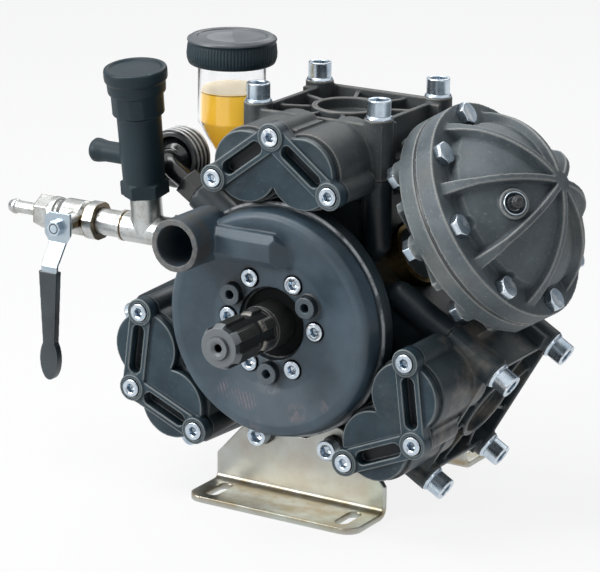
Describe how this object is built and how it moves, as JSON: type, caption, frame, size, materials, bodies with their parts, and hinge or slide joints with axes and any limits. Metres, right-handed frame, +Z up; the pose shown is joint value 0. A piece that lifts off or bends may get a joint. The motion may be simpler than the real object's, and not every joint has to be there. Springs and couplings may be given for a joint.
{
  "type": "high pressure pump",
  "caption": "Radial diaphragm pump with a splined shaft, domed pulsation damper, lever valve, pressure regulator, oil cup and slotted feet.",
  "frame": {"origin": "centre of the three tapped drive bosses' faces, on the shaft axis", "axes": "-Y out along the splined shaft, +Z up from the feet, +X towards the pulsation damper"},
  "size_m": [0.4695, 0.2956, 0.3405],
  "materials": {
    "cast_dark": "fine sand-cast, dark coated",
    "cast_grey": "coarse sand-cast, bare grey",
    "cover_grey": "satin cast",
    "zinc_steel": "bright zinc plated",
    "ground_steel": "ground",
    "hard_steel": "machined",
    "nickel": "nickel plated",
    "brass": "machined",
    "bracket_zinc": "yellow zinc plated sheet",
    "black_plastic": "satin",
    "grey_plastic": "satin",
    "black_gloss": "gloss",
    "rubber": "matt",
    "clear_cup": "clear moulded",
    "oil": "liquid"
  },
  "bodies": {
    "housing": {"crankcase": "cast_dark", "rear_cover": "cast_dark", "rear_cover_screws": "zinc_steel", "front_cover": "cover_grey", "front_cover_screws": "zinc_steel", "front_bearing": "hard_steel", "rear_bearing": "hard_steel", "shaft_seal": "rubber", "cylinder_sleeves": "hard_steel", "diaphragms": "rubber", "head_top": "cast_dark", "head_right": "cast_dark", "head_left": "cast_dark", "valve_cover_top": "cover_grey", "valve_cover_right": "cover_grey", "valve_cover_left": "cover_grey", "head_bolts": "zinc_steel", "head_washers": "zinc_steel", "valve_cover_screws": "zinc_steel", "valve_seats": "black_plastic", "damper_dome": "cast_grey", "damper_base": "cast_grey", "damper_bolts": "zinc_steel", "damper_nuts": "zinc_steel", "damper_membrane": "rubber", "damper_nipple": "brass", "air_valve": "nickel", "foot_bracket_front": "bracket_zinc", "foot_bracket_rear": "bracket_zinc", "bracket_screws": "zinc_steel", "bracket_collars": "hard_steel", "regulator_tee": "nickel", "line_union": "nickel", "union_nut": "nickel", "ball_valve_body": "nickel", "hose_tail": "nickel", "regulator_housing": "black_plastic", "oil_cup": "clear_cup", "oil_fill": "oil", "oil_neck": "grey_plastic", "arm_fitting": "black_gloss", "return_elbow": "black_gloss", "ribbed_nut": "black_gloss"},
    "crank": {"crankshaft": "ground_steel", "eccentric_bearing": "hard_steel"},
    "lever": {"valve_lever": "zinc_steel", "lever_grip": "rubber", "lever_nut": "zinc_steel", "valve_ball": "nickel"},
    "knob": {"regulator_knob": "black_plastic"},
    "cap": {"oil_cap": "black_plastic"},
    "piston_top": {"piston_top": "cast_grey"},
    "suction_valve_top": {"suction_valve_top": "hard_steel"},
    "delivery_valve_top": {"delivery_valve_top": "hard_steel"},
    "piston_right": {"piston_right": "cast_grey"},
    "suction_valve_right": {"suction_valve_right": "hard_steel"},
    "delivery_valve_right": {"delivery_valve_right": "hard_steel"},
    "piston_left": {"piston_left": "cast_grey"},
    "suction_valve_left": {"suction_valve_left": "hard_steel"},
    "delivery_valve_left": {"delivery_valve_left": "hard_steel"}
  },
  "joints": [
    {"name": "crankshaft_spin", "type": "hinge", "parent": "housing", "child": "crank", "pos_m": [0, 0, 0], "axis": [0, 1, 0], "continuous": true},
    {"name": "piston_top_stroke", "type": "slide", "parent": "housing", "child": "piston_top", "axis": [0, 0, 1], "range_m": [-0.01, 0]},
    {"name": "suction_valve_top_lift", "type": "slide", "parent": "housing", "child": "suction_valve_top", "axis": [0, 1, 0], "range_m": [0, 0.003]},
    {"name": "delivery_valve_top_lift", "type": "slide", "parent": "housing", "child": "delivery_valve_top", "axis": [0, -1, 0], "range_m": [0, 0.003]},
    {"name": "piston_right_stroke", "type": "slide", "parent": "housing", "child": "piston_right", "axis": [0.866, 0, -0.5], "range_m": [-0.01, 0]},
    {"name": "suction_valve_right_lift", "type": "slide", "parent": "housing", "child": "suction_valve_right", "axis": [0, 1, 0], "range_m": [0, 0.003]},
    {"name": "delivery_valve_right_lift", "type": "slide", "parent": "housing", "child": "delivery_valve_right", "axis": [0, -1, 0], "range_m": [0, 0.003]},
    {"name": "piston_left_stroke", "type": "slide", "parent": "housing", "child": "piston_left", "axis": [-0.866, 0, -0.5], "range_m": [-0.01, 0]},
    {"name": "suction_valve_left_lift", "type": "slide", "parent": "housing", "child": "suction_valve_left", "axis": [0, 1, 0], "range_m": [0, 0.003]},
    {"name": "delivery_valve_left_lift", "type": "slide", "parent": "housing", "child": "delivery_valve_left", "axis": [0, -1, 0], "range_m": [0, 0.003]},
    {"name": "regulator_knob_turn", "type": "hinge", "parent": "housing", "child": "knob", "pos_m": [-0.1432, 0.0564, 0.0397], "axis": [0, -0.1305, 0.9914], "range_deg": [-360, 360]},
    {"name": "oil_cap_lift", "type": "slide", "parent": "housing", "child": "cap", "axis": [0, 0, 1], "range_m": [0, 0.045]},
    {"name": "valve_lever_turn", "type": "hinge", "parent": "housing", "child": "lever", "pos_m": [-0.2052, 0.024, 0.0397], "axis": [0, 1, 0], "range_deg": [0, 90]}
  ]
}
